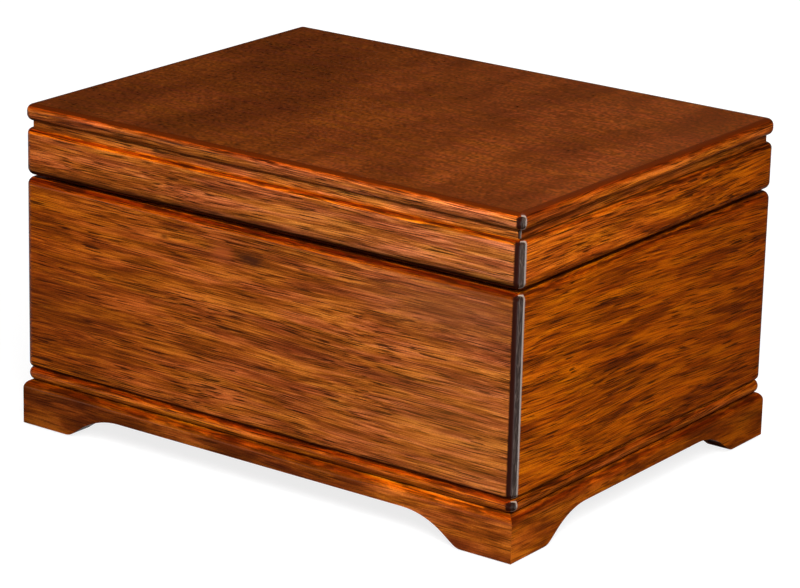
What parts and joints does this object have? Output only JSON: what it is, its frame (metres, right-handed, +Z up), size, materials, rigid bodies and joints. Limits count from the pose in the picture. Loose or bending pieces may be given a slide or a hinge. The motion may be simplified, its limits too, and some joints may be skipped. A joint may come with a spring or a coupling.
{
  "type": "wooden chest",
  "caption": "Rectangular lacquered wooden chest with a hinged flat lid, rounded edges, a bead moulding and a plinth on bracket feet.",
  "frame": {"origin": "middle of the chest's footprint, on the surface that it stands on", "axes": "+Z up, +X along the long front towards the right end, -Y out of the front face; the hinges are at +Y"},
  "size_m": [0.288, 0.218, 0.1614],
  "materials": {
    "lacquered_wood": "gloss lacquer over walnut stain",
    "top_wood": "gloss lacquer over dark walnut stain",
    "plain_wood": "bare wood",
    "black_felt": "matt felt",
    "velvet": "short pile velvet",
    "brass": "polished"
  },
  "bodies": {
    "case": {"front_panel": "lacquered_wood", "back_panel": "lacquered_wood", "left_panel": "lacquered_wood", "right_panel": "lacquered_wood", "bottom_board": "lacquered_wood", "bead_front": "lacquered_wood", "bead_back": "lacquered_wood", "bead_left": "lacquered_wood", "bead_right": "lacquered_wood", "plinth_front": "lacquered_wood", "plinth_back": "lacquered_wood", "plinth_left": "lacquered_wood", "plinth_right": "lacquered_wood", "glue_block_front_left": "plain_wood", "glue_block_front_right": "plain_wood", "glue_block_back_left": "plain_wood", "glue_block_back_right": "plain_wood", "foot_pad_front_left": "black_felt", "foot_pad_front_right": "black_felt", "foot_pad_back_left": "black_felt", "foot_pad_back_right": "black_felt", "plinth_screws": "brass", "floor_pad": "velvet", "rim_bumper_left": "black_felt", "rim_bumper_right": "black_felt", "hinge_left_case_leaf": "brass", "hinge_right_case_leaf": "brass", "hinge_left_pin": "brass", "hinge_right_pin": "brass", "case_hinge_screws": "brass"},
    "lid": {"lid_front_rail": "lacquered_wood", "lid_back_rail": "lacquered_wood", "lid_left_rail": "lacquered_wood", "lid_right_rail": "lacquered_wood", "neck_front": "lacquered_wood", "neck_back": "lacquered_wood", "neck_left": "lacquered_wood", "neck_right": "lacquered_wood", "lid_inner_panel": "lacquered_wood", "top_edge_front": "lacquered_wood", "top_edge_back": "lacquered_wood", "top_edge_left": "lacquered_wood", "top_edge_right": "lacquered_wood", "top_panel": "top_wood", "hinge_left_lid_leaf": "brass", "hinge_right_lid_leaf": "brass", "lid_hinge_screws": "brass"}
  },
  "joints": [
    {"name": "lid_hinge", "type": "hinge", "parent": "case", "child": "lid", "pos_m": [0, 0.1058, 0.126], "axis": [-1, 0, 0], "range_deg": [0, 95]}
  ]
}
